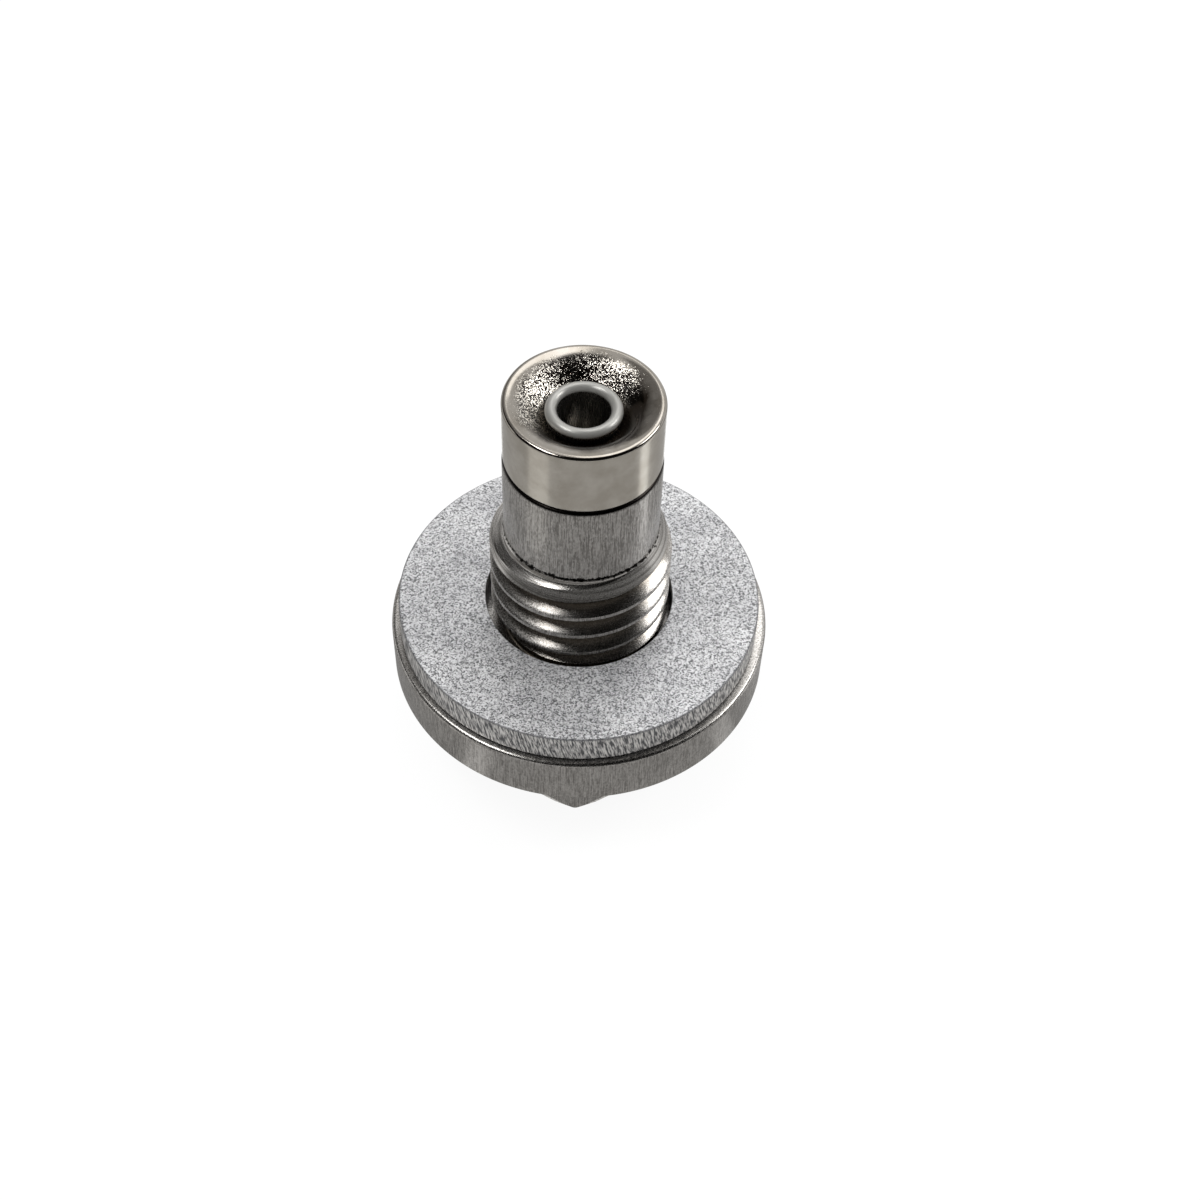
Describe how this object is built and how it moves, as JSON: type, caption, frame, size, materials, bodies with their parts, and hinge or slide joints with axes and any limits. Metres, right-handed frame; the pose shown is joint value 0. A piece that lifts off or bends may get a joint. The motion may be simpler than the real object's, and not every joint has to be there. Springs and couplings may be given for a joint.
{
  "type": "oil drain plug",
  "caption": "Magnetic oil drain plug: hex head with a round flange, right-hand threaded shank, loose sealing washer, plain pilot nose and a ring magnet held by a hollow rivet tail.",
  "frame": {"origin": "centre of the end face of the hex head, which the plug stands on", "axes": "+Z along the plug's axis, from the head to the magnet; -Y points to the front corner of the hex head; X is across two flats"},
  "size_m": [0.0254, 0.0254, 0.0296],
  "materials": {
    "stainless_steel": "turned stainless steel, satin",
    "washer_aluminium": "tumbled soft aluminium, fine grained and matt",
    "nickel_plate": "warm nickel plate over a sintered magnet, bright, rough at the bottom of its dish"
  },
  "bodies": {
    "root": {"plug_body": "stainless_steel", "crush_washer": "washer_aluminium", "ring_magnet": "nickel_plate"}
  },
  "joints": []
}
